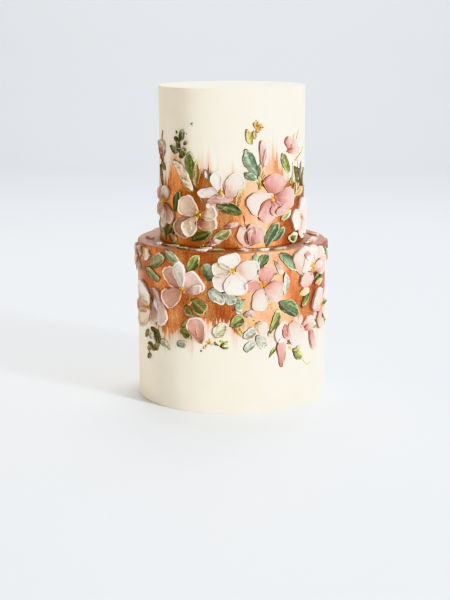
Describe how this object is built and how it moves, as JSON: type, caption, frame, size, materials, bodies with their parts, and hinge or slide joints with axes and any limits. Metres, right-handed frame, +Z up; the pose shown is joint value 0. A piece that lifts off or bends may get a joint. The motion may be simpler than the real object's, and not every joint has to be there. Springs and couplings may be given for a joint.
{
  "type": "tiered wedding cake",
  "caption": "Tiered round wedding cake in smooth ivory buttercream, with a brushed copper band and raised palette-knife flowers, buds and leaves round its tiers.",
  "frame": {"origin": "middle of the lower tier's flat underside", "axes": "+Z up along the tiers' common axis; the pictured front faces -Y"},
  "size_m": [0.222, 0.2224, 0.35],
  "materials": {
    "ivory_buttercream": "smooth ivory buttercream icing, scraped flat, with a soft sheen",
    "copper_lustre": "edible copper lustre paint brushed over the icing, grainy with bright strokes",
    "white_petals": "thick white buttercream spread with a palette knife, raised at the rims",
    "blush_petals": "thick pale pink buttercream spread with a palette knife, raised at the rims",
    "dusty_petals": "thick dusty rose buttercream spread with a palette knife, raised at the rims",
    "green_leaves": "green buttercream in olive, sage, mint and teal, streaked by the knife",
    "gold_stamens": "small ochre and gold dabs of buttercream"
  },
  "bodies": {
    "root": {"lower_flower_01": "blush_petals", "lower_flower_02": "white_petals", "lower_flower_03": "dusty_petals", "lower_flower_04": "white_petals", "lower_flower_05": "blush_petals", "lower_flower_06": "white_petals", "lower_flower_07": "white_petals", "lower_flower_08": "blush_petals", "lower_flower_09": "dusty_petals", "lower_flower_10": "blush_petals", "lower_flower_11": "white_petals", "lower_flower_12": "dusty_petals", "lower_flower_13": "white_petals", "lower_flower_14": "blush_petals", "lower_flower_15": "white_petals", "lower_flower_16": "white_petals", "lower_flower_17": "blush_petals", "lower_tier": "ivory_buttercream", "upper_flower_01": "dusty_petals", "upper_flower_02": "blush_petals", "upper_flower_03": "white_petals", "upper_flower_04": "blush_petals", "upper_flower_05": "blush_petals", "upper_flower_06": "white_petals", "upper_flower_07": "blush_petals", "upper_flower_08": "blush_petals", "upper_flower_09": "dusty_petals", "upper_flower_10": "dusty_petals", "upper_flower_11": "blush_petals", "upper_flower_12": "white_petals", "upper_flower_13": "blush_petals", "upper_flower_14": "blush_petals", "upper_flower_15": "white_petals", "upper_tier": "ivory_buttercream"}
  },
  "joints": []
}
